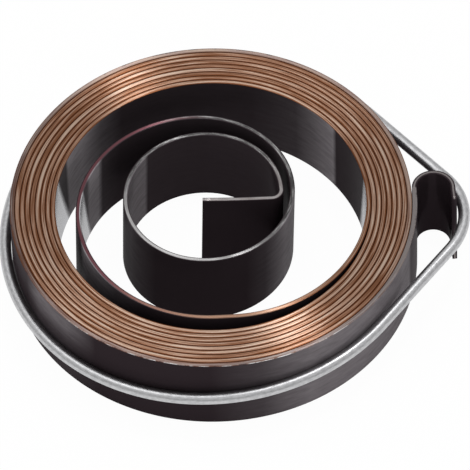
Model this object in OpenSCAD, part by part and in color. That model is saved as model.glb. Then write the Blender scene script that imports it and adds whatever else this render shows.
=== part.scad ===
// Return spring for a drill press quill, as supplied: one flat strip wound into a tight coil, with a
// tang inside its eye for the pinion's slot and a hook outside for the housing's pin, and the loop of
// wire that keeps it wound until it is fitted. The origin is on the coil's axis, in the plane that the
// strip's lower edges lie on. +Z runs up the axis, and +X points to the hook.

/* [Strip] */
// Width of the strip, which is the height of the coil
strip_w = 11.2; // [7:0.1:15]
// Thickness of the strip
strip_t = 0.58; // [0.4:0.02:0.7]

/* [Wound turns] */
// Outside diameter of the wound turns
coil_od = 50; // [46:1:60]
// Full turns that lie close together
turns = 9; // [6:1:11]
// Air between one turn and the next
turn_gap = 0.05; // [0.03:0.01:0.1]

/* [Arbor eye] */
// Inside diameter of the eye
eye_d = 19.1; // [16:0.1:20]
// How much tighter the eye's first quarter turn is bent, next to the tang
eye_nip = 0.5; // [0:0.05:0.8]
// Growth of the bend radius with each quarter turn, from the eye's last quarter on
eye_open = 0.9; // [0.7:0.05:1.2]
// Offset of the eye's first bend from the coil's axis, towards the hook
eye_x = -0.75; // [-1.5:0.05:0.5]
// Offset of the eye's first bend from the coil's axis, across the hook
eye_y = 1.75; // [0.5:0.05:2.2]
// How soon the free turn opens from the eye to the wound turns
free_lead = 0.68; // [0.5:0.01:0.75]
// Flatter stretch of the free turn, opposite the eye's back
free_run = 1.95; // [0.5:0.05:3]

/* [Tang] */
// Length of the tang
tang_len = 8.5; // [5:0.1:11]
// Inside radius of the bend between tang and eye
tang_bend_r = 0.94; // [0.6:0.02:2]
// Radius of the slight curl left in the tang
tang_curl_r = 150; // [40:5:400]

/* [Hook] */
// Straight stretch between the last turn and the hook's bend
hook_rise = 0.9; // [0.3:0.1:2]
// Inside radius of the hook's bend
hook_bend_r = 2.1; // [1.5:0.02:2.6]
// Length of the hook's tail along its upper edge
hook_tail = 2; // [1:0.1:3]
// How much longer the tail is along its lower edge, where its end was cut off askew
hook_cut = 0.6; // [0.2:0.05:1]
// Radius that the tail flares out to
hook_flare_r = 30; // [10:1:60]

/* [Retaining ring] */
// Diameter of the wire
wire_d = 1.46; // [1:0.02:2]
// Air between the wire and the widest turn
ring_slack = 0.1; // [0.1:0.05:0.5]
// Inside radius of the ring's corner round the hook
ring_corner_r = 8; // [6:0.1:9]
// Air between the wire and the hook
hook_slack = 0.1; // [0.1:0.05:0.5]
// Height of the ring where it crosses the coil's axis
ring_z = 6; // [3:0.1:7]
// Rise of the ring towards the hook, in degrees
ring_tilt = 3.3; // [0:0.1:3.5]
// Turn of the ring about the coil's axis, in degrees
ring_swing = -1.1; // [-3:0.1:3]

/* [Hidden] */
$fn = 96;
ROUND_FN = 24;
STEEL = [0.17, 0.15, 0.16];
GALVANISED = [0.72, 0.73, 0.74];
half_t = strip_t / 2;
quarter_pitch = to_micron((strip_t + turn_gap) / 4);
// Distance of the strip's middle from the coil's axis where the wound turns begin, on the hook's side
wound_start = to_micron((coil_od - strip_t) / 2 - (4 * turns - 1) * quarter_pitch);
last_half = 2 * turns - 1;
// Bend radii of the eye's four quarters, at the middle of the strip
round_r = to_micron((eye_d + strip_t) / 2);
eye_r = [round_r - eye_nip, round_r, round_r, round_r + eye_open];
eye_end = [eye_x + eye_r[3], eye_y + eye_r[0] - 2 * round_r + eye_r[3]];
// The free turn's four quarters and its flatter stretch close the way from the eye to the wound turns
free_way = wound_start - free_run - eye_end.x;
free_1 = eye_r[3] + eye_open;
free_3 = free_1 + (free_way + eye_end.y) / 2;
free_2 = to_micron(free_1 + free_lead * (free_3 - free_1));
free_4 = free_2 + (free_way - eye_end.y) / 2;
inner_r = concat(eye_r, [free_1, free_2, free_3, free_4]);
last_quarter = len(inner_r) - 1;
tang_r = tang_bend_r + half_t;
tang_corner = [eye_x + eye_r[0] - tang_r, eye_y];
tang_sweep = tang_len / tang_curl_r * 180 / PI;
coil_end = half_centre(last_half) + [half_r(last_half), 0];
hook_r = hook_bend_r + half_t;
hook_centre = coil_end + [hook_r, hook_rise];
flare_centre = hook_centre + [hook_r + hook_flare_r, 0];
// The tail is bent to its lower edge's length and a little more, and then cut off askew
foot_sweep = (hook_tail + hook_cut) / hook_flare_r * 180 / PI;
spare_sweep = hook_cut / hook_flare_r * 180 / PI;
cut_slant = atan2(hook_cut, strip_w);
tail_tip = flare_centre + (hook_flare_r - half_t) * along(180 + foot_sweep);
wire_r = wire_d / 2;
// The ring lies round the last half turn, and its corner reaches just past the hook's bend and tail
ring_centre = half_centre(last_half);
ring_r = to_micron(half_r(last_half) + half_t + ring_slack + wire_r);
corner_r = to_micron(ring_corner_r + wire_r);
corner_room = ring_corner_r - hook_slack;
tip_corner_x = corner_behind(from_ring(tail_tip), corner_room);
bend_corner_x = corner_behind(from_ring(hook_centre), corner_room - hook_r - half_t);
corner_x = max(tip_corner_x, bend_corner_x);
run_len = to_micron(sqrt(pow(corner_x, 2) - pow(ring_r - corner_r, 2)));
// Angle at the ring's centre from its corner to the start of a straight run
run_angle = atan2(run_len, ring_r - corner_r);
// How far a half ring is drawn past the plane that it is cut at, in degrees
overrun = 1;

// Lengths that neighbouring bends share are kept to a thousandth, so that they meet face to face
function to_micron(length) = round(length * 1000) / 1000;

function along(a) = [cos(a), sin(a)];

// Point where a quarter turn of the eye or the free turn begins, with the flatter stretch before the last
function quarter_start(k) = k == 0
    ? [eye_x + inner_r[0], eye_y]
    : quarter_start(k - 1) + inner_r[k - 1] * (along(90 * k) - along(90 * (k - 1)))
        + [k == last_quarter ? free_run : 0, 0];

// The wound turns are half turns about two centres, each a half pitch wider than the one before
function half_centre(k) = [(k % 2 == 0 ? -1 : 1) * quarter_pitch, 0];

function half_r(k) = wound_start + (1 + 2 * k) * quarter_pitch;

// A point as seen from the ring's centre, with the ring's corner along +X
function from_ring(p) =
    [(p - ring_centre) * along(ring_swing), (p - ring_centre) * along(ring_swing + 90)];

// Nearest place for a corner's centre on the ring's axis that leaves a point within the given radius
function corner_behind(p, radius) = p.x - sqrt(pow(radius, 2) - pow(p.y, 2));

// Cross-section of the strip, upright, with its lower edge at the height of the base
module strip_section() {
    translate([-half_t, 0])
        square([strip_t, strip_w]);
}

module strip_bend(centre, r, from, sweep) {
    translate(centre)
        rotate_extrude(angle = sweep, start = from)
            translate([r, 0])
                strip_section();
}

module tang() {
    strip_bend(tang_corner, tang_r, 0, -90);
    strip_bend(tang_corner + [0, tang_curl_r - tang_r], tang_curl_r, 270, -tang_sweep);
}

module eye_and_free_turn() {
    for (k = [0:last_quarter])
        strip_bend(quarter_start(k) - inner_r[k] * along(90 * k), inner_r[k], 90 * k, 90);
    translate(quarter_start(last_quarter) - [free_run, half_t])
        cube([free_run, strip_t, strip_w]);
}

module wound_turns() {
    for (k = [0:last_half])
        strip_bend(half_centre(k), half_r(k), 180 * (k % 2), 180);
}

module hook() {
    translate(coil_end - [half_t, 0])
        cube([strip_t, hook_rise, strip_w]);
    strip_bend(hook_centre, hook_r, 180, -180);
    // The block beyond the tail's end leans back over the strip's width
    difference() {
        strip_bend(flare_centre, hook_flare_r, 180, foot_sweep + spare_sweep);
        translate(flare_centre)
            rotate([0, 0, 180 + foot_sweep])
                translate([hook_flare_r, 0, 0])
                    rotate([cut_slant, 0, 0])
                        translate([-strip_t, 0, -strip_w])
                            cube([2 * strip_t, 3 * hook_cut, 3 * strip_w]);
    }
}

module spring_strip() {
    color(STEEL) {
        tang();
        eye_and_free_turn();
        wound_turns();
        hook();
    }
}

module wire_bend(centre, r, sweep) {
    translate(centre)
        rotate_extrude(angle = sweep)
            translate([r, 0])
                circle(wire_r, $fn = ROUND_FN);
}

// Half of the loop: from the far side of the coil, straight past the hook, to the middle of the corner
module half_ring() {
    room = 2 * corner_x;
    intersection() {
        rotate([0, 0, run_angle]) {
            wire_bend([0, 0], ring_r, 180 - run_angle + overrun);
            translate([ring_r, 0, 0])
                rotate([90, 0, 0])
                    cylinder(h = run_len, r = wire_r, $fn = ROUND_FN);
            wire_bend([ring_r - corner_r, -run_len], corner_r, -run_angle - overrun);
        }
        translate([-room, 0, -room])
            cube([2 * room, room, 2 * room]);
    }
}

module retaining_ring() {
    color(GALVANISED)
        translate([0, 0, ring_z])
            rotate([0, -ring_tilt, 0])
                translate(ring_centre)
                    rotate([0, 0, ring_swing]) {
                        half_ring();
                        mirror([0, 1, 0])
                            half_ring();
                    }
}

spring_strip();
retaining_ring();
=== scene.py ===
import math
from typing import NamedTuple

import bpy
import numpy as np
from bpy.props import FloatProperty, FloatVectorProperty, IntProperty, PointerProperty
from mathutils import Matrix, Vector


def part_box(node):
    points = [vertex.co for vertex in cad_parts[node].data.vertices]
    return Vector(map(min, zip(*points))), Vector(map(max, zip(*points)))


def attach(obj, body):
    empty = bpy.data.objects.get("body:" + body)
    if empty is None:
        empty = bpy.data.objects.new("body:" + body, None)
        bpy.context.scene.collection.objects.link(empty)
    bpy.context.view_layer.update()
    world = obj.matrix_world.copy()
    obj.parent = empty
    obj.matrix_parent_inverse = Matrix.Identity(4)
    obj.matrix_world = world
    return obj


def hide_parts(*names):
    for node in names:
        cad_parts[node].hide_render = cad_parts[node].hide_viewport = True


bl_info = {
    "name": "Return Spring Finish",
    "version": (1, 0, 0),
    "blender": (4, 5, 0),
    "location": "View3D > Sidebar > Return Spring",
    "description": "Winds the strip and bends the wire of a drill press return spring, and finishes both",
    "category": "Object",
}

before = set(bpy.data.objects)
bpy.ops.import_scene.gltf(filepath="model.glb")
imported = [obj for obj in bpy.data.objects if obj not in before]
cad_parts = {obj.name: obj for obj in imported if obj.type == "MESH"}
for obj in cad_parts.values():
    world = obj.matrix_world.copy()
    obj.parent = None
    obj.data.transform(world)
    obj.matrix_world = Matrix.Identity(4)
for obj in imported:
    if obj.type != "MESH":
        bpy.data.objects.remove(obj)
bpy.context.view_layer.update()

MM = 0.001
BODY = "root"
STRIP_NODE = "spring_strip"
RING_NODE = "retaining_ring"
# How far a finished piece may lie from the box of the solid that it stands for
BOX_SLACK = 0.03 * MM
# Turns are counted from the tang: the eye and the free turn, then the wound turns, then the hook's half turn
FIRST_WOUND = 2
HOOK_TURNS = 0.5
# The eye's lean fades out over this much of the free turn
EYE_FADE = 0.6
# Most that a bend may turn from one section of the mesh to the next
MOST_DEGREES = 7.5
# Most room between two sections of the strip's mesh, and of the wire's
STRIP_STEP = 0.7 * MM
WIRE_STEP = 0.5 * MM
# Steps of the mesh round the strip's corner, across its crowned edge and round the wire
CORNER_STEPS = 4
CROWN_STEPS = 8
WIRE_SIDES = 28


def length(name, description, millimetres):
    """A size that the sidebar shows as a length."""
    return FloatProperty(
        name=name, description=description, default=millimetres * MM, unit="LENGTH", precision=5)


def angle(name, description, degrees):
    return FloatProperty(name=name, description=description, default=math.radians(degrees), subtype="ANGLE")


def share(name, description, default):
    return FloatProperty(name=name, description=description, default=default, min=0, subtype="FACTOR")


def power(name, description, watts):
    return FloatProperty(name=name, description=description, default=watts, unit="POWER")


def direction(name, description, default):
    return FloatVectorProperty(
        name=name, description=description, default=default, size=3, subtype="DIRECTION")


def colour(name, description, default):
    return FloatVectorProperty(
        name=name, description=description, default=default, size=3, min=0, max=1, subtype="COLOR")


class StripSizes(bpy.types.PropertyGroup):
    thickness: length("Thickness", "Thickness of the strip", 0.58)
    edge_radius: length("Edge radius", "Radius of the strip's dressed corners", 0.06)
    edge_crown: angle("Edge crown", "How far the strip's edges slope down from the middle to a corner", 8)
    coil_diameter: length("Coil diameter", "Outside diameter of the wound turns", 50)
    turns: IntProperty(name="Turns", description="Full turns that lie close together", default=9, min=2)
    turn_gap: length("Turn gap", "Air between one wound turn and the next", 0.05)
    eye_diameter: length("Eye diameter", "Inside diameter of the eye", 19.1)
    eye_nip: length("Eye nip", "How much tighter the eye's first quarter turn is bent", 0.5)
    eye_opening: length("Eye opening", "Growth of the bend radius from the eye's last quarter on", 0.9)
    eye_x: length("Eye X", "Offset of the eye's first bend from the coil's axis, towards the hook", -0.75)
    eye_y: length("Eye Y", "Offset of the eye's first bend from the coil's axis, across the hook", 1.75)
    free_lead: share("Free lead", "How soon the free turn opens from the eye to the wound turns", 0.68)
    free_run: length("Free run", "Flatter stretch of the free turn", 1.95)
    eye_lean_x: angle("Eye lean X", "How far the eye's lower edge leans away from the hook", 1.7)
    eye_lean_y: angle("Eye lean Y", "How far the eye's lower edge leans across the hook", 1.0)
    tang_length: length("Tang length", "Length of the tang inside the eye", 8.5)
    tang_bend: length("Tang bend", "Inside radius of the bend between tang and eye", 0.94)
    tang_curl: length("Tang curl", "Radius of the slight curl left in the tang", 150)
    hook_rise: length("Hook rise", "Straight stretch between the last turn and the hook", 0.9)
    hook_bend: length("Hook bend", "Inside radius of the hook", 2.1)
    hook_tail: length("Hook tail", "Length of the hook's tail along its upper edge", 2)
    hook_cut: length("Hook cut", "How much longer the tail is along its lower edge", 0.6)
    hook_flare: length("Hook flare", "Radius that the tail flares out to", 30)


class RingSizes(bpy.types.PropertyGroup):
    wire: length("Wire", "Diameter of the wire", 1.46)
    slack: length("Slack", "Air between the wire and the widest turn", 0.1)
    corner: length("Corner", "Inside radius of the ring's corner round the hook", 8)
    hook_slack: length("Hook slack", "Air between the wire and the hook", 0.1)
    height: length("Height", "Height of the ring where it crosses the coil's axis", 6)
    tilt: angle("Tilt", "Rise of the ring towards the hook", 3.3)
    swing: angle("Swing", "Turn of the ring about the coil's axis", -1.1)


class FinishColours(bpy.types.PropertyGroup):
    oxide: colour("Oxide", "Blued faces of the strip", (0.031, 0.0225, 0.026))
    # Painted reflections: the paler colour that the blued faces take in stretches
    oxide_painted_reflection: colour("Oxide painted reflection", "Paler stretches of the blueing", (0.300, 0.275, 0.290))
    # Painted gleam: bright bare metal on stretches of the inner face, where a reflection gleams
    oxide_painted_gleam: colour("Oxide rubbed", "Stretches of the inner face rubbed bright", (0.62, 0.62, 0.64))
    oxide_shine: share("Oxide shine", "How far the blued faces shine as metal", 0.16)
    oxide_glance: share("Oxide glance", "What the blued faces keep of a glancing light", 0.6)
    bare_edge: colour("Bare edge", "Edges of the eye's front", (0.52, 0.51, 0.51))
    dull_edge: colour("Dull edge", "Edges of the tang and of the eye's back", (0.085, 0.082, 0.082))
    mauve_edge: colour("Mauve edge", "Edges of the free turn", (0.17, 0.070, 0.082))
    bronze_edge: colour("Bronze edge", "Edges of the wound turns", (0.44, 0.26, 0.178))
    brown_edge: colour("Brown edge", "Darker streaks along the wound turns' edges", (0.20, 0.085, 0.042))
    # Partly darker oxide where the turns meet, partly painted shade where the edges round off
    corner_oxide_and_shade: colour("Corner oxide and shade", "Corners of the wound turns' edges", (0.17, 0.052, 0.016))
    pale_edge: colour("Pale edge", "Paler streaks along the wound turns' edges", (0.64, 0.495, 0.395))
    rose_edge: colour("Rose edge", "Edges of the last turn's first half", (0.46, 0.35, 0.325))
    dusk_edge: colour("Dusk edge", "Darker stretch of the last turn's edges", (0.27, 0.205, 0.195))
    worn_edge: colour("Worn edge", "Edges of the last turn's end and the hook", (0.38, 0.345, 0.34))
    bright_nick: colour("Bright nick", "Bare metal in nicks", (0.80, 0.79, 0.79))
    zinc: colour("Zinc", "Galvanised wire", (0.60, 0.60, 0.61))
    zinc_dull: colour("Dull zinc", "Weathered patches on the wire", (0.28, 0.28, 0.29))


class StageSettings(bpy.types.PropertyGroup):
    camera_place: FloatVectorProperty(
        name="Camera", description="Place of the camera", size=3, subtype="XYZ", unit="LENGTH",
        default=(-12.8 * MM, -585.76 * MM, 755.48 * MM))
    camera_pitch: angle("Pitch", "How far the camera looks down", 52.026)
    camera_yaw: angle("Yaw", "Turn of the camera towards the hook", 1.516)
    camera_roll: angle("Roll", "Roll of the camera", -1.639)
    lens: FloatProperty(
        name="Lens", description="Focal length of the camera", default=591.85, subtype="DISTANCE_CAMERA")
    floor_width: length("Floor width", "Width of the floor", 4000)
    floor_drop: length("Floor drop", "Air between the floor and the strip's lower edges", 0.02)
    floor_white: share("Floor white", "Share of the floor that shows as plain white", 0.97)
    key_direction: direction("Key direction", "Where the soft box over the coil hangs", (0.215, 0.16, 0.963))
    key_width: length("Key width", "Width of the soft box over the coil", 60)
    key_power: power("Key power", "Power of the soft box over the coil", 0.40)
    fill_direction: direction("Fill direction", "Where the wide soft box hangs", (-0.28, 0.09, 0.956))
    fill_width: length("Fill width", "Width of the wide soft box", 400)
    fill_power: power("Fill power", "Power of the wide soft box", 0.45)
    lamp_distance: length("Lamp distance", "Distance of the soft boxes from the coil", 500)
    room_light: share("Room light", "Strength of the light from all round", 0.62)


class SpringSettings(bpy.types.PropertyGroup):
    strip: PointerProperty(type=StripSizes, name="Strip", description="Sizes of the strip")
    ring: PointerProperty(type=RingSizes, name="Ring", description="Sizes of the retaining ring")
    finish: PointerProperty(type=FinishColours, name="Finish", description="Colours of the finishes")
    stage: PointerProperty(type=StageSettings, name="Stage", description="Camera, floor and light")


# The strip's path: bends and straights that follow each other from the tang's end to the hook's

class Bend(NamedTuple):
    """An arc of the strip. Turn counts from the tang on, and turns is how far it grows along the arc."""
    centre: np.ndarray
    radius: float
    start: float
    sweep: float
    turn: float
    turns: float

    @property
    def length(self):
        return self.radius * math.radians(abs(self.sweep))

    @property
    def steps(self):
        return math.ceil(abs(self.sweep) / MOST_DEGREES)

    def at(self, part):
        """The point at a part of the way along, and the side that faces out of the coil."""
        spoke = along(self.start + self.sweep * part)
        return self.centre + self.radius * spoke, math.copysign(1, self.sweep) * spoke


class Straight(NamedTuple):
    """A straight stretch of the strip, with its heading in degrees."""
    begin: np.ndarray
    heading: float
    length: float
    turn: float
    turns: float = 0.0
    steps: int = 1

    def at(self, part):
        return self.begin + self.length * part * along(self.heading), along(self.heading - 90)


class Path(NamedTuple):
    """Points along the middle of a strip, with the side that faces out and how far along each lies."""
    points: np.ndarray
    out: np.ndarray
    run: np.ndarray
    turn: np.ndarray


def along(degrees):
    """The step of length 1 in a direction."""
    a = math.radians(degrees)
    return np.array([math.cos(a), math.sin(a)])


def to_micron(value):
    """Neighbouring bends share lengths that are kept to a thousandth of a millimetre."""
    return round(value / MM, 3) * MM


def quarter_pitch(s):
    """A quarter of the way from one wound turn to the next."""
    return to_micron((s.thickness + s.turn_gap) / 4)


def wound_start(s):
    """How far from the coil's axis the wound turns start."""
    return to_micron((s.coil_diameter - s.thickness) / 2 - (4 * s.turns - 1) * quarter_pitch(s))


def half_centre(s, k):
    """Centre of a half bend of the wound turns."""
    return np.array([quarter_pitch(s) * (1 if k % 2 else -1), 0.0])


def half_radius(s, k):
    """Radius of a half bend of the wound turns."""
    return wound_start(s) + (1 + 2 * k) * quarter_pitch(s)


def inner_radii(s):
    """Bend radii of the eye's four quarters and of the free turn's four, which close the way to the coil."""
    round_r = to_micron((s.eye_diameter + s.thickness) / 2)
    eye = [round_r - s.eye_nip, round_r, round_r, round_r + s.eye_opening]
    end_x = s.eye_x + eye[3]
    end_y = s.eye_y + eye[0] - 2 * round_r + eye[3]
    way = wound_start(s) - s.free_run - end_x
    first = eye[3] + s.eye_opening
    third = first + (way + end_y) / 2
    second = to_micron(first + s.free_lead * (third - first))
    fourth = second + (way - end_y) / 2
    return eye + [first, second, third, fourth]


def tang_pieces(s, start):
    """The tang and the bend that joins it to the eye's start."""
    tang_r = s.tang_bend + s.thickness / 2
    corner = start - [tang_r, 0]
    sweep = math.degrees(s.tang_length / s.tang_curl)
    return [
        Bend(corner + [0, s.tang_curl - tang_r], s.tang_curl, 270 - sweep, sweep, 0, 0),
        Bend(corner, tang_r, 270, 90, 0, 0),
    ]


def inner_pieces(s, start):
    """The eye and the free turn, with the flatter stretch before the last quarter."""
    pieces = []
    here = start
    radii = inner_radii(s)
    for k, r in enumerate(radii):
        if k == len(radii) - 1:
            pieces.append(Straight(here, 0, s.free_run, k / 4))
            here = here + [s.free_run, 0]
        centre = here - r * along(90 * k)
        pieces.append(Bend(centre, r, 90 * k, 90, k / 4, 0.25))
        here = centre + r * along(90 * (k + 1))
    return pieces


def hook_pieces(s):
    """The rise from the last turn, the hook, and its tail that flares out."""
    last = 2 * s.turns - 1
    hook_r = s.hook_bend + s.thickness / 2
    coil_end = half_centre(s, last) + [half_radius(s, last), 0]
    centre = coil_end + [hook_r, s.hook_rise]
    flare_centre = centre + [hook_r + s.hook_flare, 0]
    sweep = math.degrees((s.hook_tail + s.hook_cut) / s.hook_flare)
    end = FIRST_WOUND + s.turns
    return [
        Straight(coil_end, 90, s.hook_rise, end),
        Bend(centre, hook_r, 180, -180, end, HOOK_TURNS),
        Bend(flare_centre, s.hook_flare, 180, sweep, end + HOOK_TURNS, 0),
    ]


def strip_pieces(s):
    """All bends and straights of the strip, from the tang's end to the hook's."""
    start = np.array([s.eye_x + inner_radii(s)[0], s.eye_y])
    wound = [
        Bend(half_centre(s, k), half_radius(s, k), 180 * (k % 2), 180, FIRST_WOUND + k / 2, 0.5)
        for k in range(2 * s.turns)
    ]
    return tang_pieces(s, start) + inner_pieces(s, start) + wound + hook_pieces(s)


def path_of(pieces, step):
    """Samples bends and straights into one path, with a point at least every step and every few degrees."""
    points, out, run, turn = [], [], [], []
    travelled = 0.0
    for piece in pieces:
        count = max(2, math.ceil(piece.length / step), piece.steps)
        for i in range(1 if points else 0, count + 1):
            point, side = piece.at(i / count)
            points.append(point)
            out.append(side)
            run.append(travelled + piece.length * i / count)
            turn.append(piece.turn + piece.turns * i / count)
        travelled += piece.length
    return Path(np.array(points), np.array(out), np.array(run), np.array(turn))


# Meshes swept along a path

def swept_mesh(name, sections, closed, attributes):
    """A mesh through sections, an array of rings of points. Attributes give each point a named number."""
    rings, around = sections.shape[:2]
    i = np.arange(rings if closed else rings - 1)[:, None]
    j = np.arange(around)[None, :]
    ahead, beside = (i + 1) % rings * around, (j + 1) % around
    quads = np.stack([i * around + j, ahead + j, ahead + beside, i * around + beside], axis=-1)
    faces = quads.reshape(-1, 4).tolist()
    if not closed:
        faces.append(list(range(around)))
        faces.append(list(range(rings * around - 1, (rings - 1) * around - 1, -1)))
    mesh = bpy.data.meshes.new(name)
    mesh.from_pydata(sections.reshape(-1, 3).tolist(), [], faces)
    mesh.polygons.foreach_set("use_smooth", [len(face) == 4 for face in faces])
    for key, values in attributes.items():
        data = mesh.attributes.new(key, "FLOAT", "POINT").data
        data.foreach_set("value", np.ascontiguousarray(values, dtype=np.float32).ravel())
    mesh.validate()
    return mesh


def strip_profile(thickness, width, radius, crown):
    """Outline of the strip's section: offset to its outer side, height, and how far it faces up or down."""
    half = thickness / 2
    crown_radius = (half - radius) / math.sin(crown) + radius
    rise = (crown_radius - radius) * math.cos(crown)
    slope = 90 - math.degrees(crown)
    edge = []
    for i in range(CORNER_STEPS):
        spoke = along(slope * i / CORNER_STEPS)
        edge.append((half - radius + radius * spoke[0], rise + radius * spoke[1], spoke[1]))
    for i in range(CROWN_STEPS // 2 + 1):
        spoke = along(slope + (90 - slope) * 2 * i / CROWN_STEPS)
        edge.append((crown_radius * spoke[0], crown_radius * spoke[1], spoke[1]))
    edge = np.array(edge)
    edge[:, 1] += width - crown_radius
    # A second loop just below each corner keeps the faces flat
    edge = np.vstack([edge[0] - (0, radius / 2, 0), edge])
    upper = np.vstack([edge, edge[-2::-1] * (-1, 1, 1)])
    return np.vstack([upper, upper[::-1] * (1, -1, 1) + (0, width, 0)])


def piece_from(mesh, node, material):
    """Makes the object that stands for a node, and checks that it keeps the node's size."""
    piece = bpy.data.objects.new(mesh.name, mesh)
    bpy.context.scene.collection.objects.link(piece)
    mesh.materials.append(material)
    corners = np.array([v.co for v in mesh.vertices])
    low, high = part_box(node)
    miss = max(np.abs(corners.min(0) - low).max(), np.abs(corners.max(0) - high).max())
    if miss > BOX_SLACK:
        raise RuntimeError(f"{mesh.name} is {miss / MM:.3f} mm off the box of {node}")
    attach(piece, BODY)
    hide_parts(node)


# Shader nodes

# Span that nearly all values of a noise lie in, and the spans of a noise that make patches and pits
NOISE_SPAN = (0.3, 0.7)
PATCH_SPAN = (0.35, 0.65)
PIT_SPAN = (0.62, 0.74)


def feed(tree, socket, value):
    """Sets a socket to a value, or joins it to the output of another node."""
    if isinstance(value, bpy.types.NodeSocket):
        tree.links.new(value, socket)
    else:
        socket.default_value = value


def add(tree, kind, inputs=None, **settings):
    """Adds a node. An input takes a value, or the output of another node, which is joined to it."""
    made = tree.nodes.new(kind)
    for key, value in settings.items():
        setattr(made, key, value)
    for key, value in (inputs or {}).items():
        feed(tree, made.inputs[key], value)
    return made


def maths(tree, operation, *values):
    return add(tree, "ShaderNodeMath", dict(enumerate(values)), operation=operation).outputs["Value"]


def between(tree, value, low, high, to_low=0.0, to_high=1.0, smooth=False):
    """Maps a value from one span to another, and keeps it inside."""
    inputs = {"Value": value, "From Min": low, "From Max": high, "To Min": to_low, "To Max": to_high}
    kind = "SMOOTHSTEP" if smooth else "LINEAR"
    return add(tree, "ShaderNodeMapRange", inputs, interpolation_type=kind).outputs["Result"]


def mixed(tree, factor, a, b):
    """A colour between two colours."""
    node = add(tree, "ShaderNodeMix", data_type="RGBA")
    by_name = {s.name: s for s in node.inputs if s.enabled}
    feed(tree, by_name["Factor"], factor)
    for key, tint in (("A", a), ("B", b)):
        feed(tree, by_name[key], tint if isinstance(tint, bpy.types.NodeSocket) else (*tint, 1.0))
    return next(s for s in node.outputs if s.enabled)


def attribute(tree, name):
    return add(tree, "ShaderNodeAttribute", attribute_name=name).outputs["Fac"]


def noise(tree, vector, scale, detail, roughness):
    inputs = {"Vector": vector, "Scale": scale, "Detail": detail, "Roughness": roughness}
    return add(tree, "ShaderNodeTexNoise", inputs).outputs["Fac"]


def vector_of(tree, x, y, z):
    return add(tree, "ShaderNodeCombineXYZ", {"X": x, "Y": y, "Z": z}).outputs["Vector"]


def new_group(name, inputs, outputs):
    """A shader node group with named sockets, and its input and output nodes."""
    group = bpy.data.node_groups.new(name, "ShaderNodeTree")
    for socket, kind, default in inputs:
        made = group.interface.new_socket(socket, in_out="INPUT", socket_type=kind)
        if default is not None:
            made.default_value = default
    for socket, kind in outputs:
        group.interface.new_socket(socket, in_out="OUTPUT", socket_type=kind)
    return group, add(group, "NodeGroupInput"), add(group, "NodeGroupOutput")


def use_group(tree, group, inputs):
    """Places a group in a material, with values of its own."""
    return add(tree, "ShaderNodeGroup", inputs, node_tree=group).outputs


def grain_group():
    """Fine lines that rolling or drawing leaves along the metal."""
    group, given, result = new_group(
        "Mill grain",
        [("Along", "NodeSocketFloat", 0.0), ("Across", "NodeSocketFloat", 0.0),
         ("Line spacing", "NodeSocketFloat", 0.1 * MM), ("Line length", "NodeSocketFloat", 20 * MM)],
        [("Lines", "NodeSocketFloat")])
    x = maths(group, "DIVIDE", given.outputs["Along"], given.outputs["Line length"])
    y = maths(group, "DIVIDE", given.outputs["Across"], given.outputs["Line spacing"])
    lines = noise(group, vector_of(group, x, y, 0.0), 1.0, detail=1.0, roughness=0.5)
    group.links.new(lines, result.inputs["Lines"])
    return group


def mottle_group():
    """Soft patches of a finish, and small dark pits in it, where their noises pass a span."""
    group, given, result = new_group(
        "Mottle",
        [("Position", "NodeSocketVector", None), ("Patch size", "NodeSocketFloat", 2 * MM),
         ("Pit size", "NodeSocketFloat", 0.3 * MM)],
        [("Patches", "NodeSocketFloat"), ("Pits", "NodeSocketFloat")])
    patch_scale = maths(group, "DIVIDE", 1.0, given.outputs["Patch size"])
    pit_scale = maths(group, "DIVIDE", 1.0, given.outputs["Pit size"])
    patches = noise(group, given.outputs["Position"], patch_scale, detail=4.0, roughness=0.55)
    pits = noise(group, given.outputs["Position"], pit_scale, detail=2.0, roughness=0.5)
    group.links.new(between(group, patches, *PATCH_SPAN, smooth=True), result.inputs["Patches"])
    group.links.new(between(group, pits, *PIT_SPAN, smooth=True), result.inputs["Pits"])
    return group


def new_material(name):
    """A material with a shader that has no inputs yet, its node tree and that shader."""
    material = bpy.data.materials.new(name)
    material.use_nodes = True
    tree = material.node_tree
    tree.nodes.clear()
    shader = add(tree, "ShaderNodeBsdfPrincipled")
    add(tree, "ShaderNodeOutputMaterial", {"Surface": shader.outputs["BSDF"]})
    return material, tree, shader


def ramp_along(tree, place, stops):
    """A colour that changes along the strip, by stops of a place and a colour."""
    first, last = stops[0][0], stops[-1][0]
    node = add(tree, "ShaderNodeValToRGB", {"Fac": between(tree, place, first, last)})
    ramp = node.color_ramp
    while len(ramp.elements) < len(stops):
        ramp.elements.new(0.5)
    for element, (where, tint) in zip(ramp.elements, stops):
        element.position = (where - first) / (last - first)
        element.color = (*tint, 1.0)
    return node.outputs["Color"]


def level_along(tree, place, *spans):
    """A level along the strip, by spans that are stops of a place and a level. The highest counts."""
    ramps = [ramp_along(tree, place, [(where, (value,) * 3) for where, value in stops]) for stops in spans]
    level = ramps[0]
    for ramp in ramps[1:]:
        level = maths(tree, "MAXIMUM", level, ramp)
    return level


# Finishes of the strip. Places are in turns from the tang, and LAST places count from the last turn's end

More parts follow.
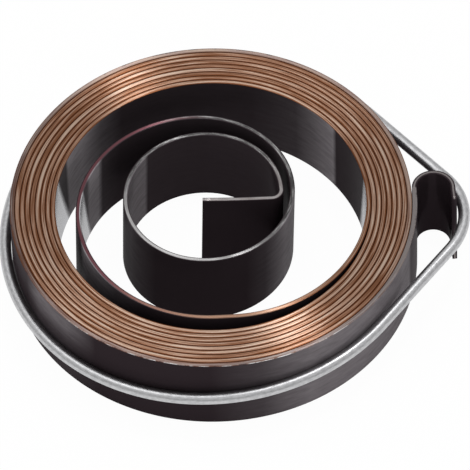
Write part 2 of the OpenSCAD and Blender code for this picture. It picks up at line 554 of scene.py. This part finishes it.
# Stops of a place and a level: painted reflections, and painted light on the dimmer walls, given as paler
# blueing on the inner and on the outer face
INNER_PAINTED_REFLECTION = (
    ((0.36, 0.03), (0.375, 0.03), (0.385, 0.53), (0.47, 0.44), (0.52, 0.03)),
    ((1.36, 0.03), (1.395, 0.1), (1.405, 0.95), (1.43, 0.95), (1.44, 0.2), (1.52, 0.03)),
    ((2.085, 0.0), (2.092, 0.0), (2.098, 0.95), (2.12, 0.6), (2.15, 0.15), (2.20, 0.04)),
    ((2.34, 0.03), (2.37, 0.3), (2.40, 0.9), (2.43, 1.0), (2.436, 0.1), (2.50, 0.0)),
)
OUTER_PAINTED_REFLECTION = (
    ((0.50, 0.0), (0.54, 0.05), (0.565, 0.18), (0.585, 0.13), (0.64, 0.0)),
    ((0.82, 0.0), (0.86, 0.1), (0.92, 0.66), (0.96, 0.55), (1.0, 0.0)),
    ((1.52, 0.0), (1.535, 0.0), (1.55, 0.9), (1.58, 0.6), (1.62, 0.15), (1.66, 0.0)),
)
# Painted reflections on the last turn's outer face
LAST_PAINTED_REFLECTION = (
    (-0.26, 0.0), (-0.22, 0.15), (-0.18, 0.6), (-0.13, 0.63), (-0.075, 0.5), (-0.072, 0.55),
    (-0.056, 0.5), (-0.05, 0.06), (-0.015, 0.1), (-0.01, 0.32), (0.0, 0.0),
)
# One stretch of the last turn has a painted reflection below its upper edge, and keeps only a share of it
# further down
LAST_BROW_REFLECTION = ((-0.50, 0.0), (-0.44, 0.06), (-0.42, 0.5), (-0.385, 0.45), (-0.355, 0.0))
BROW_REFLECTION_DEPTH = (1 * MM, 5 * MM)
BROW_REFLECTION_FOOT = 0.2
# Painted gleams: stretches of the inner face made bright bare metal where a reflection gleams, and how they
# slant, in turns for each metre of depth
GLEAM_LEFT = (
    ((1.455, 0.0), (1.463, 1.0), (1.50, 1.0), (1.53, 0.0)),
    ((2.459, 0.0), (2.467, 1.0), (2.50, 1.0), (2.53, 0.0)),
)
GLEAM_RIGHT = ((1.96, 0.0), (1.985, 1.0), (2.015, 1.0), (2.024, 0.0))
LEFT_SLANT = 2.7
RIGHT_SLANT = -1.5
# Stops of a place and a colour: the edges of the inner turns and of the last turn
INNER_EDGE = (
    (0.0, "worn_edge"), (0.1, "dull_edge"), (0.42, "dull_edge"), (0.54, "bare_edge"), (0.70, "bare_edge"),
    (0.92, "dull_edge"), (1.22, "dull_edge"), (1.30, "mauve_edge"), (1.60, "mauve_edge"),
    (1.74, "bronze_edge"),
)
LAST_EDGE = (
    (-1.1, "bronze_edge"), (-0.95, "rose_edge"), (-0.67, "rose_edge"), (-0.58, "dusk_edge"),
    (-0.44, "dusk_edge"), (-0.39, "rose_edge"), (-0.28, "rose_edge"), (-0.22, "worn_edge"),
    (0.0, "worn_edge"),
)
# The edges' two rows of colours change over between these turns, where both are bronze
EDGE_CHANGE = (4.0, 5.0)
# Where the eye's specks fade out, where oxide leaves the free turn's corners, and where streaks set in
SPECKS_END = (1.32, 1.24)
CORNERS_CLEAR = (1.85, 1.7)
STREAKS_START = (1.7, 1.9)
# Where the last turn's streaks grow weaker and end, where it grows rougher, and where oxide bites into it
LAST_WEAKER = (-1.1, -0.9)
LAST_STREAKS = (0.0, -0.2)
LAST_ROUGHER = (-1.1, -0.95)
LAST_BITTEN = (-0.95, -0.85)
# Where the hook starts, and the front of the last turn, where its outer corner is nicked
LAST_HOOK = (-0.02, 0.02)
LAST_NICKS = ((-0.42, 0.0), (-0.37, 1.0), (-0.17, 1.0), (-0.1, 0.0))

# Sides run from -1 on the strip's inner face to 1 on its outer face, and a rim is 1 where the strip faces up

# Flanks of an edge and its bare middle on narrow stretches, both where oxide and painted shade darken the
# corners, and how much narrower that is on the hook
FLANK_SHADE_SIDE = (0.35, 0.9)
BARE_MIDDLE = (0.8, 0.35)
HOOK_NARROWER = 0.3
# The outer corner that is nicked, the outer side that oxide bites into, and where an edge starts
NICKED_SIDE = (0.6, 0.8)
BITTEN_SIDE = (0.3, 0.6)
EDGE_RIM = (0.3, 0.75)
# Width that the edge's specks and streaks are laid out over
SPECK_WIDTH = 0.29 * MM
STREAK_WIDTH = 0.5 * MM

# Spans of a noise that make specks, nicks and bites, and of the sum of three that make the wound streaks
SPECK_SPAN = (0.45, 0.7)
NICK_SPAN = (0.48, 0.58)
BITE_SPAN = (0.5, 0.4)
BROWN_SPAN = (0.99, 0.88)
PALE_SPAN = (1.02, 1.13)
STRETCH_WEIGHT = 0.45
DRIFT_WEIGHT = 0.55
# Most that each of them covers, and what streaks make of the painted reflections
SPECK_MOST = 0.6
BITE_MOST = 0.8
STREAK_MOST = 0.9
FLANK_SHADE_MOST = 0.95
LAST_STREAK_SHARE = 0.8
REFLECTION_SHARES = (0.75, 1.2)

# The strip's fine lines stretch its gloss to the full, a quarter turn from their own direction
GLOSS_STRETCH = 1.0
GLOSS_TURN = 0.25
# Roughness of the blued faces, and of the edges of the wound turns and of the last turn
FACE_ROUGHNESS = (0.11, 0.17)
EDGE_ROUGHNESS = (0.36, 0.5)
# Depth of the lines, and the share of it on the faces and on the edges
LINE_DEPTH = 0.03 * MM
LINE_SHARES = (0.08, 0.15)


class Marks(NamedTuple):
    """A pattern of marks: their size, how they break up, how many times longer than wide, and a layer."""
    size: float
    detail: float
    roughness: float = 0.5
    longer: float = 1.0
    layer: float = 0.0


# Streaks that break up the painted reflections
REFLECTION_STREAKS = Marks(0.6 * MM, detail=4.0, roughness=0.6, longer=5.0)
EDGE_SPECKS = Marks(0.25 * MM, detail=4.0, roughness=0.7, longer=10.0)
EDGE_CHIPS = Marks(2.6 * MM, detail=6.0, roughness=0.7, layer=3 * MM)
WOUND_STRETCHES = Marks(22 * MM, detail=5.0, roughness=0.6)
WOUND_STREAKS = Marks(0.22 * MM, detail=4.0, longer=25.0, layer=7 * MM)
WOUND_DRIFT = Marks(70 * MM, detail=1.0, layer=5 * MM)


class StripPlace(NamedTuple):
    """Where a point of the strip lies, as the mesh's attributes give it."""
    run: bpy.types.NodeSocket
    turn: bpy.types.NodeSocket
    girth: bpy.types.NodeSocket
    depth: bpy.types.NodeSocket
    side: bpy.types.NodeSocket
    rim: bpy.types.NodeSocket


def marked(tree, marks, run, across=0.0):
    """Noise in a pattern of marks, by the way along the strip and across it."""
    place = vector_of(tree, maths(tree, "DIVIDE", run, marks.longer), across, marks.layer)
    return noise(tree, place, 1 / marks.size, marks.detail, marks.roughness)


def from_end(stops, last):
    """Stops that count from the last turn's end, counted from the tang."""
    return [(last + where, value) for where, value in stops]


def toward_end(tree, at, last, span, to_low=0.0, to_high=1.0):
    """A value that changes over a span of the last turn, which counts from its end."""
    return between(tree, at.turn, last + span[0], last + span[1], to_low, to_high)


def painted_reflection_level(tree, at, inside, last):
    """Painted reflections along the inner and the outer face, given as paler blueing."""
    inner = level_along(tree, at.turn, *INNER_PAINTED_REFLECTION)
    outer = level_along(tree, at.turn, *OUTER_PAINTED_REFLECTION, from_end(LAST_PAINTED_REFLECTION, last))
    brow = level_along(tree, at.turn, from_end(LAST_BROW_REFLECTION, last))
    upper = between(tree, at.depth, *BROW_REFLECTION_DEPTH, 1.0, BROW_REFLECTION_FOOT, smooth=True)
    outer = maths(tree, "MAXIMUM", outer, maths(tree, "MULTIPLY", brow, upper))
    level = mixed(tree, inside, outer, inner)
    streaks = marked(tree, REFLECTION_STREAKS, at.run, at.depth)
    return maths(tree, "MULTIPLY", level, between(tree, streaks, *NOISE_SPAN, *REFLECTION_SHARES))


def painted_gleam_level(tree, at, inside):
    """Painted gleams: slanting stretches at the sides of the inner face where bright bare metal stands in for
    a reflection.
    """
    left = level_along(tree, maths(tree, "MULTIPLY_ADD", at.depth, LEFT_SLANT, at.turn), *GLEAM_LEFT)
    right = level_along(tree, maths(tree, "MULTIPLY_ADD", at.depth, RIGHT_SLANT, at.turn), GLEAM_RIGHT)
    return maths(tree, "MULTIPLY", maths(tree, "MAXIMUM", left, right), inside)


def wound_colour(tree, edge, at, finish, last):
    """Browns and pales the wound turns' edges in stretches and streaks, and darkens them towards their
    corners, partly as oxide and partly as painted shade where they round off.
    """
    wound = between(tree, at.turn, *STREAKS_START)
    wound = maths(tree, "MULTIPLY", wound, toward_end(tree, at, last, LAST_WEAKER, 1.0, LAST_STREAK_SHARE))
    wound = maths(tree, "MULTIPLY", wound, toward_end(tree, at, last, LAST_STREAKS))
    shade = marked(tree, WOUND_STREAKS, at.run, maths(tree, "MULTIPLY", at.side, STREAK_WIDTH))
    for marks, weight in ((WOUND_STRETCHES, STRETCH_WEIGHT), (WOUND_DRIFT, DRIFT_WEIGHT)):
        shade = maths(tree, "MULTIPLY_ADD", marked(tree, marks, at.run), weight, shade)
    brown = between(tree, shade, *BROWN_SPAN, 0.0, STREAK_MOST)
    pale = between(tree, shade, *PALE_SPAN, 0.0, STREAK_MOST)
    # Painted shade, partly oxide: darker towards the edge's corners
    flank_shade = between(tree, maths(tree, "ABSOLUTE", at.side), *FLANK_SHADE_SIDE, 0.0, FLANK_SHADE_MOST, smooth=True)
    for level, tint in ((brown, finish.brown_edge), (pale, finish.pale_edge), (flank_shade, finish.corner_oxide_and_shade)):
        edge = mixed(tree, maths(tree, "MULTIPLY", level, wound), edge, tint)
    return edge


def nick_level(tree, at, last):
    """Small bare nicks along the outer corner of the last turn's front."""
    corner = between(tree, at.side, *NICKED_SIDE)
    front = level_along(tree, at.turn, from_end(LAST_NICKS, last))
    chips = between(tree, marked(tree, EDGE_CHIPS, at.run), *NICK_SPAN)
    return maths(tree, "MULTIPLY", maths(tree, "MULTIPLY", corner, front), chips)


def edge_colour(tree, at, finish, last):
    """Colour of the strip's edges from the tang to the hook, as the heat of tempering left them."""
    inner = ramp_along(tree, at.turn, [(where, getattr(finish, tint)) for where, tint in INNER_EDGE])
    outermost = ramp_along(
        tree, at.turn, [(where, getattr(finish, tint)) for where, tint in from_end(LAST_EDGE, last)])
    edge = mixed(tree, between(tree, at.turn, *EDGE_CHANGE), inner, outermost)
    specks = marked(tree, EDGE_SPECKS, at.run, maths(tree, "MULTIPLY", at.side, SPECK_WIDTH))
    specks = between(tree, specks, *SPECK_SPAN, 0.0, SPECK_MOST)
    bare = maths(tree, "MULTIPLY", specks, between(tree, at.turn, *SPECKS_END))
    edge = mixed(tree, bare, edge, finish.bright_nick)
    edge = wound_colour(tree, edge, at, finish, last)
    return mixed(tree, nick_level(tree, at, last), edge, finish.bright_nick)


def edge_mask(tree, at, last):
    """1 on the strip's edges. The eye, the free turn and the hook keep their oxide at the corners, which also
    stands as painted shade where their edges round off.
    """
    inner = between(tree, at.turn, *CORNERS_CLEAR)
    hook = toward_end(tree, at, last, LAST_HOOK)
    off_middle = maths(tree, "MULTIPLY_ADD", hook, HOOK_NARROWER, maths(tree, "ABSOLUTE", at.side))
    middle = between(tree, off_middle, *BARE_MIDDLE, smooth=True)
    narrow = maths(tree, "MAXIMUM", inner, hook)
    kept = maths(tree, "MULTIPLY_ADD", narrow, maths(tree, "SUBTRACT", middle, 1.0), 1.0)
    # Oxide bites unevenly into the outer side of the last turn's edge
    bite = between(tree, marked(tree, EDGE_CHIPS, at.run), *BITE_SPAN)
    outer_side = between(tree, at.side, *BITTEN_SIDE, 0.0, -BITE_MOST)
    bitten = maths(tree, "MULTIPLY", toward_end(tree, at, last, LAST_BITTEN), outer_side)
    kept = maths(tree, "MULTIPLY", kept, maths(tree, "MULTIPLY_ADD", bite, bitten, 1.0))
    return maths(tree, "MULTIPLY", between(tree, at.rim, *EDGE_RIM, smooth=True), kept)


def stretch_gloss(tree, shader):
    """Stretches the gloss across the fine lines, which run lengthwise round the coil."""
    shader.inputs["Anisotropic"].default_value = GLOSS_STRETCH
    shader.inputs["Anisotropic Rotation"].default_value = GLOSS_TURN
    place = add(tree, "ShaderNodeTexCoord").outputs["Object"]
    lengthwise = add(tree, "ShaderNodeVectorMath", {0: (0, 0, 1), 1: place}, operation="CROSS_PRODUCT")
    tree.links.new(lengthwise.outputs["Vector"], shader.inputs["Tangent"])


def strip_material(settings, grain):
    """Blued spring steel, with edges coloured by tempering."""
    finish = settings.finish
    last = FIRST_WOUND + settings.strip.turns
    material, tree, shader = new_material("blued_spring_steel")
    at = StripPlace(*(attribute(tree, name) for name in StripPlace._fields))
    inside = maths(tree, "LESS_THAN", at.side, 0.0)
    # Painted gleams of bright bare metal on the inner face
    gleam = painted_gleam_level(tree, at, inside)
    # Painted reflections on the blued faces, as paler blueing
    face = mixed(tree, painted_reflection_level(tree, at, inside, last), finish.oxide, finish.oxide_painted_reflection)
    face = mixed(tree, gleam, face, finish.oxide_painted_gleam)
    on_edge = edge_mask(tree, at, last)
    base = mixed(tree, on_edge, face, edge_colour(tree, at, finish, last))
    tree.links.new(base, shader.inputs["Base Color"])
    lines = use_group(tree, grain, {
        "Along": at.run, "Across": at.girth, "Line spacing": 0.06 * MM, "Line length": 60 * MM})["Lines"]
    face_rough = between(tree, lines, *NOISE_SPAN, *FACE_ROUGHNESS)
    edge_rough = toward_end(tree, at, last, LAST_ROUGHER, *EDGE_ROUGHNESS)
    rough = maths(tree, "MULTIPLY_ADD", on_edge, maths(tree, "SUBTRACT", edge_rough, face_rough), face_rough)
    tree.links.new(rough, shader.inputs["Roughness"])
    bare = maths(tree, "MAXIMUM", on_edge, gleam)
    tree.links.new(between(tree, bare, 0.0, 1.0, finish.oxide_shine, 1.0), shader.inputs["Metallic"])
    # The blueing has no clear layer of its own, so only the metal's share of it shines
    shader.inputs["Specular IOR Level"].default_value = 0.0
    shader.inputs["Specular Tint"].default_value = (finish.oxide_glance,) * 3 + (1.0,)
    stretch_gloss(tree, shader)
    height = maths(tree, "MULTIPLY", lines, between(tree, on_edge, 0.0, 1.0, *LINE_SHARES))
    bump = add(tree, "ShaderNodeBump", {"Strength": 1.0, "Distance": LINE_DEPTH, "Height": height})
    tree.links.new(bump.outputs["Normal"], shader.inputs["Normal"])
    return material


# Finish of the wire: how its patches are drawn out along it, and how much dull zinc shows in patches and pits
PATCH_SHRINK = 0.35
PATCH_SHARE = 0.4
PIT_SHARE = 0.5
WIRE_ROUGHNESS = (0.31, 0.41)
# Relief of the wire's drawn lines, and the pits' height against it
WIRE_RELIEF = 0.25
WIRE_DEPTH = 0.02 * MM
PIT_HEIGHT = -0.6


def wire_material(settings, grain, mottle):
    """Galvanised wire, drawn and then dulled in patches and pits."""
    finish = settings.finish
    material, tree, shader = new_material("galvanised_wire")
    run, around = attribute(tree, "run"), attribute(tree, "around")
    position = vector_of(tree, maths(tree, "MULTIPLY", run, PATCH_SHRINK), around, 0.0)
    lines = use_group(tree, grain, {
        "Along": run, "Across": around, "Line spacing": 0.15 * MM, "Line length": 6 * MM})["Lines"]
    marks = use_group(tree, mottle, {"Position": position, "Patch size": 0.24 * MM, "Pit size": 0.1 * MM})
    base = mixed(tree, maths(tree, "MULTIPLY", marks["Patches"], PATCH_SHARE), finish.zinc, finish.zinc_dull)
    base = mixed(tree, maths(tree, "MULTIPLY", marks["Pits"], PIT_SHARE), base, finish.zinc_dull)
    tree.links.new(base, shader.inputs["Base Color"])
    tree.links.new(between(tree, lines, *NOISE_SPAN, *WIRE_ROUGHNESS), shader.inputs["Roughness"])
    shader.inputs["Metallic"].default_value = 1.0
    height = maths(tree, "MULTIPLY_ADD", marks["Pits"], PIT_HEIGHT, lines)
    bump = add(tree, "ShaderNodeBump", {"Strength": WIRE_RELIEF, "Distance": WIRE_DEPTH, "Height": height})
    tree.links.new(bump.outputs["Normal"], shader.inputs["Normal"])
    return material


def shared_group(name, make):
    """The node group of a name, made at its first use."""
    return bpy.data.node_groups.get(name) or make()


class WindStrip(bpy.types.Operator):
    """Winds the spring strip, with dressed edges, over its solid and gives it its blued finish"""
    bl_idname = "return_spring.wind_strip"
    bl_label = "Wind Strip"

    def execute(self, context):
        settings = context.scene.return_spring
        s = settings.strip
        low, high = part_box(STRIP_NODE)
        profile = strip_profile(s.thickness, high.z - low.z, s.edge_radius, s.edge_crown)
        path = path_of(strip_pieces(s), STRIP_STEP)
        sections = np.empty((len(path.run), len(profile), 3))
        sections[..., :2] = path.points[:, None] + path.out[:, None] * profile[None, :, :1]
        sections[..., 2] = low.z + profile[None, :, 1]
        # The tail's end is cut off askew, shorter with the height
        foot = s.hook_tail + s.hook_cut
        cut = s.hook_cut * np.clip((path.run - path.run[-1]) / foot + 1, 0, 1)
        heading = np.stack([-path.out[:, 1], path.out[:, 0]], axis=1)
        height = profile[:, 1] / (high.z - low.z)
        sections[..., :2] -= (cut[:, None] * heading)[:, None] * height[None, :, None]
        # The eye leans a little, and the free turn takes that up
        lean = np.clip((FIRST_WOUND - path.turn) / EYE_FADE, 0, 1)[:, None] * (high.z - sections[..., 2])
        sections[..., 0] -= math.tan(s.eye_lean_x) * lean
        sections[..., 1] -= math.tan(s.eye_lean_y) * lean
        rings = np.ones((len(path.run), 1))
        around = np.linalg.norm(np.diff(profile[:, :2], axis=0), axis=1)
        attributes = {
            "run": path.run[:, None] * np.ones(len(profile)),
            "turn": path.turn[:, None] * np.ones(len(profile)),
            "girth": rings * np.concatenate([[0.0], np.cumsum(around)]),
            "depth": rings * (high.z - low.z - profile[:, 1]),
            "side": rings * profile[:, 0] / (s.thickness / 2),
            "rim": rings * profile[:, 2],
        }
        mesh = swept_mesh("wound_strip", sections, False, attributes)
        material = strip_material(settings, shared_group("Mill grain", grain_group))
        piece_from(mesh, STRIP_NODE, material)
        return {"FINISHED"}


def ring_outline(s, strip):
    """Points along the middle of the wire in the ring's own plane, and the side that faces out."""
    half_t = strip.thickness / 2
    last = 2 * strip.turns - 1
    wire_r = s.wire / 2
    centre = half_centre(strip, last)
    ring_r = to_micron(half_radius(strip, last) + half_t + s.slack + wire_r)
    corner_r = to_micron(s.corner + wire_r)
    swing = math.degrees(s.swing)
    hook, flare = hook_pieces(strip)[-2:]
    tip = flare.centre + (flare.radius - half_t) * along(flare.start + flare.sweep)
    room = s.corner - s.hook_slack

    def behind(point, radius):
        """Where on the ring's axis a bend's centre lies, if the point is a radius in front of it."""
        x, y = (point - centre) @ along(swing), (point - centre) @ along(swing + 90)
        return x - math.sqrt(radius ** 2 - y ** 2)

    corner_x = max(behind(tip, room), behind(hook.centre, room - hook.radius - half_t))
    run = to_micron(math.sqrt(corner_x ** 2 - (ring_r - corner_r) ** 2))
    spread = math.degrees(math.atan2(run, ring_r - corner_r))
    corner_place = np.array([corner_x, 0.0])
    points, out = [], []

    def arc(middle, radius, start, sweep):
        count = math.ceil(radius * math.radians(sweep) / WIRE_STEP)
        for i in range(count + 1):
            spoke = along(start + sweep * i / count)
            points.append(middle + radius * spoke)
            out.append(spoke)

    def straight(begin, end, spoke):
        count = math.ceil(np.linalg.norm(end - begin) / WIRE_STEP)
        for i in range(1, count):
            points.append(begin + (end - begin) * i / count)
            out.append(spoke)

    up, down = along(spread), along(-spread)
    arc(corner_place, corner_r, -spread, 2 * spread)
    straight(corner_place + corner_r * up, ring_r * up, up)
    arc(np.zeros(2), ring_r, spread, 360 - 2 * spread)
    straight(ring_r * down, corner_place + corner_r * down, down)
    return np.array(points), np.array(out)


class BendRing(bpy.types.Operator):
    """Bends the retaining ring's wire round the coil and the hook and gives it its galvanised finish"""
    bl_idname = "return_spring.bend_ring"
    bl_label = "Bend Ring"

    def execute(self, context):
        settings = context.scene.return_spring
        s, strip = settings.ring, settings.strip
        points, out = ring_outline(s, strip)
        place = (
            Matrix.Translation((0, 0, s.height))
            @ Matrix.Rotation(-s.tilt, 4, "Y")
            @ Matrix.Translation((*half_centre(strip, 2 * strip.turns - 1), 0))
            @ Matrix.Rotation(s.swing, 4, "Z")
        )
        angles = np.arange(WIRE_SIDES) * 2 * math.pi / WIRE_SIDES
        sections = np.empty((len(points), WIRE_SIDES, 3))
        sections[..., :2] = points[:, None] + out[:, None] * (s.wire / 2 * np.cos(angles))[None, :, None]
        sections[..., 2] = s.wire / 2 * np.sin(angles)
        turned = np.array(place.to_3x3())
        sections = sections @ turned.T + np.array(place.translation)
        steps = np.linalg.norm(np.diff(points, axis=0), axis=1)
        run = np.concatenate([[0.0], np.cumsum(steps)])
        attributes = {
            "run": run[:, None] * np.ones(WIRE_SIDES),
            "around": np.ones((len(points), 1)) * np.sin(angles / 2) * s.wire,
        }
        mesh = swept_mesh("wire_ring", sections, True, attributes)
        material = wire_material(
            settings, shared_group("Mill grain", grain_group), shared_group("Mottle", mottle_group))
        piece_from(mesh, RING_NODE, material)
        return {"FINISHED"}


# Stage

WHITE = (1.0, 1.0, 1.0, 1.0)
PAPER = (0.9, 0.9, 0.9, 1.0)
# The room's light grows from a little below the horizon to overhead, by these shares of its strength
SKY_RANGE = (-0.2, 1.0)
SKY_SHARES = (0.6, 1.4)
SENSOR_MM = 36
CLIP_START = 10 * MM
FLOOR_CORNERS = ((-1, -1), (1, -1), (1, 1), (-1, 1))


def seen_rays(tree):
    """1 for rays that show a surface itself, straight or in metal and glass."""
    light = add(tree, "ShaderNodeLightPath").outputs
    either = maths(tree, "MAXIMUM", light["Is Camera Ray"], light["Is Glossy Ray"])
    return maths(tree, "MAXIMUM", either, light["Is Transmission Ray"])


def floor_material(white_share):
    """A floor that shows as white and still keeps a little shadow."""
    material = bpy.data.materials.new("white_table")
    material.use_nodes = True
    tree = material.node_tree
    tree.nodes.clear()
    paper = add(tree, "ShaderNodeBsdfDiffuse", {"Color": PAPER})
    white = add(tree, "ShaderNodeEmission", {"Color": WHITE, "Strength": 1.0})
    share_seen = maths(tree, "MULTIPLY", seen_rays(tree), white_share)
    both = add(tree, "ShaderNodeMixShader", {0: share_seen, 1: paper.outputs[0], 2: white.outputs[0]})
    add(tree, "ShaderNodeOutputMaterial", {"Surface": both.outputs[0]})
    return material


def light_room(strength):
    """Light from all round, stronger from above, in front of plain white."""
    world = bpy.data.worlds.new("studio")
    world.use_nodes = True
    tree = world.node_tree
    tree.nodes.clear()
    camera = add(tree, "ShaderNodeLightPath").outputs["Is Camera Ray"]
    towards = add(tree, "ShaderNodeTexCoord").outputs["Generated"]
    up = add(tree, "ShaderNodeSeparateXYZ", {"Vector": towards}).outputs["Z"]
    level = between(tree, up, *SKY_RANGE, *(part * strength for part in SKY_SHARES))
    shown = maths(tree, "MAXIMUM", camera, level)
    sky = add(tree, "ShaderNodeBackground", {"Color": WHITE, "Strength": shown})
    add(tree, "ShaderNodeOutputWorld", {"Surface": sky.outputs[0]})
    bpy.context.scene.world = world


def hang_soft_box(name, towards, distance, width, watts):
    """A round soft box that faces the coil's middle."""
    light = bpy.data.lights.new(name, "AREA")
    light.shape = "DISK"
    light.size = width
    light.energy = watts
    lamp = bpy.data.objects.new(name, light)
    lamp.location = Vector(towards).normalized() * distance
    lamp.rotation_euler = lamp.location.to_track_quat("Z", "Y").to_euler()
    bpy.context.scene.collection.objects.link(lamp)


def place_camera(s):
    """The camera, at the photograph's angle."""
    camera = bpy.data.cameras.new("photo_camera")
    camera.lens = s.lens
    camera.sensor_width = SENSOR_MM
    camera.clip_start = CLIP_START
    holder = bpy.data.objects.new("photo_camera", camera)
    level = math.cos(s.camera_pitch)
    forward = Vector((
        math.sin(s.camera_yaw) * level, math.cos(s.camera_yaw) * level, -math.sin(s.camera_pitch)))
    right = Vector((math.cos(s.camera_yaw), -math.sin(s.camera_yaw), 0))
    upright = Matrix((right, right.cross(forward), -forward)).transposed()
    turned = upright @ Matrix.Rotation(s.camera_roll, 3, "Z")
    holder.matrix_world = Matrix.Translation(s.camera_place) @ turned.to_4x4()
    bpy.context.scene.collection.objects.link(holder)
    bpy.context.scene.camera = holder


class SetStage(bpy.types.Operator):
    """Lays the white floor, hangs the soft light and places the camera"""
    bl_idname = "return_spring.set_stage"
    bl_label = "Set Stage"

    def execute(self, context):
        s = context.scene.return_spring.stage
        context.scene.view_settings.view_transform = "Standard"
        half = s.floor_width / 2
        mesh = bpy.data.meshes.new("floor")
        corners = [(x * half, y * half, -s.floor_drop) for x, y in FLOOR_CORNERS]
        mesh.from_pydata(corners, [], [range(len(corners))])
        mesh.materials.append(floor_material(s.floor_white))
        floor = bpy.data.objects.new("floor", mesh)
        context.scene.collection.objects.link(floor)
        light_room(s.room_light)
        hang_soft_box("key_soft_box", s.key_direction, s.lamp_distance, s.key_width, s.key_power)
        hang_soft_box("fill_soft_box", s.fill_direction, s.lamp_distance, s.fill_width, s.fill_power)
        place_camera(s)
        return {"FINISHED"}


class SpringPanel(bpy.types.Panel):
    """Sizes, finishes and steps of the return spring"""
    bl_idname = "VIEW3D_PT_return_spring"
    bl_label = "Return Spring"
    bl_space_type = "VIEW_3D"
    bl_region_type = "UI"
    bl_category = "Return Spring"

    def draw(self, context):
        settings = context.scene.return_spring
        for group in (settings.strip, settings.ring, settings.finish, settings.stage):
            box = self.layout.box()
            for name in group.__annotations__:
                box.prop(group, name)
        for operator in OPERATORS:
            self.layout.operator(operator.bl_idname)


GROUPS = (StripSizes, RingSizes, FinishColours, StageSettings, SpringSettings)
OPERATORS = (WindStrip, BendRing, SetStage)
CLASSES = (*GROUPS, *OPERATORS, SpringPanel)


def register():
    for cls in CLASSES:
        bpy.utils.register_class(cls)
    bpy.types.Scene.return_spring = PointerProperty(type=SpringSettings)


def unregister():
    del bpy.types.Scene.return_spring
    for cls in reversed(CLASSES):
        bpy.utils.unregister_class(cls)


def main():
    register()
    bpy.ops.return_spring.wind_strip()
    bpy.ops.return_spring.bend_ring()
    bpy.ops.return_spring.set_stage()


if __name__ == "__main__":
    main()
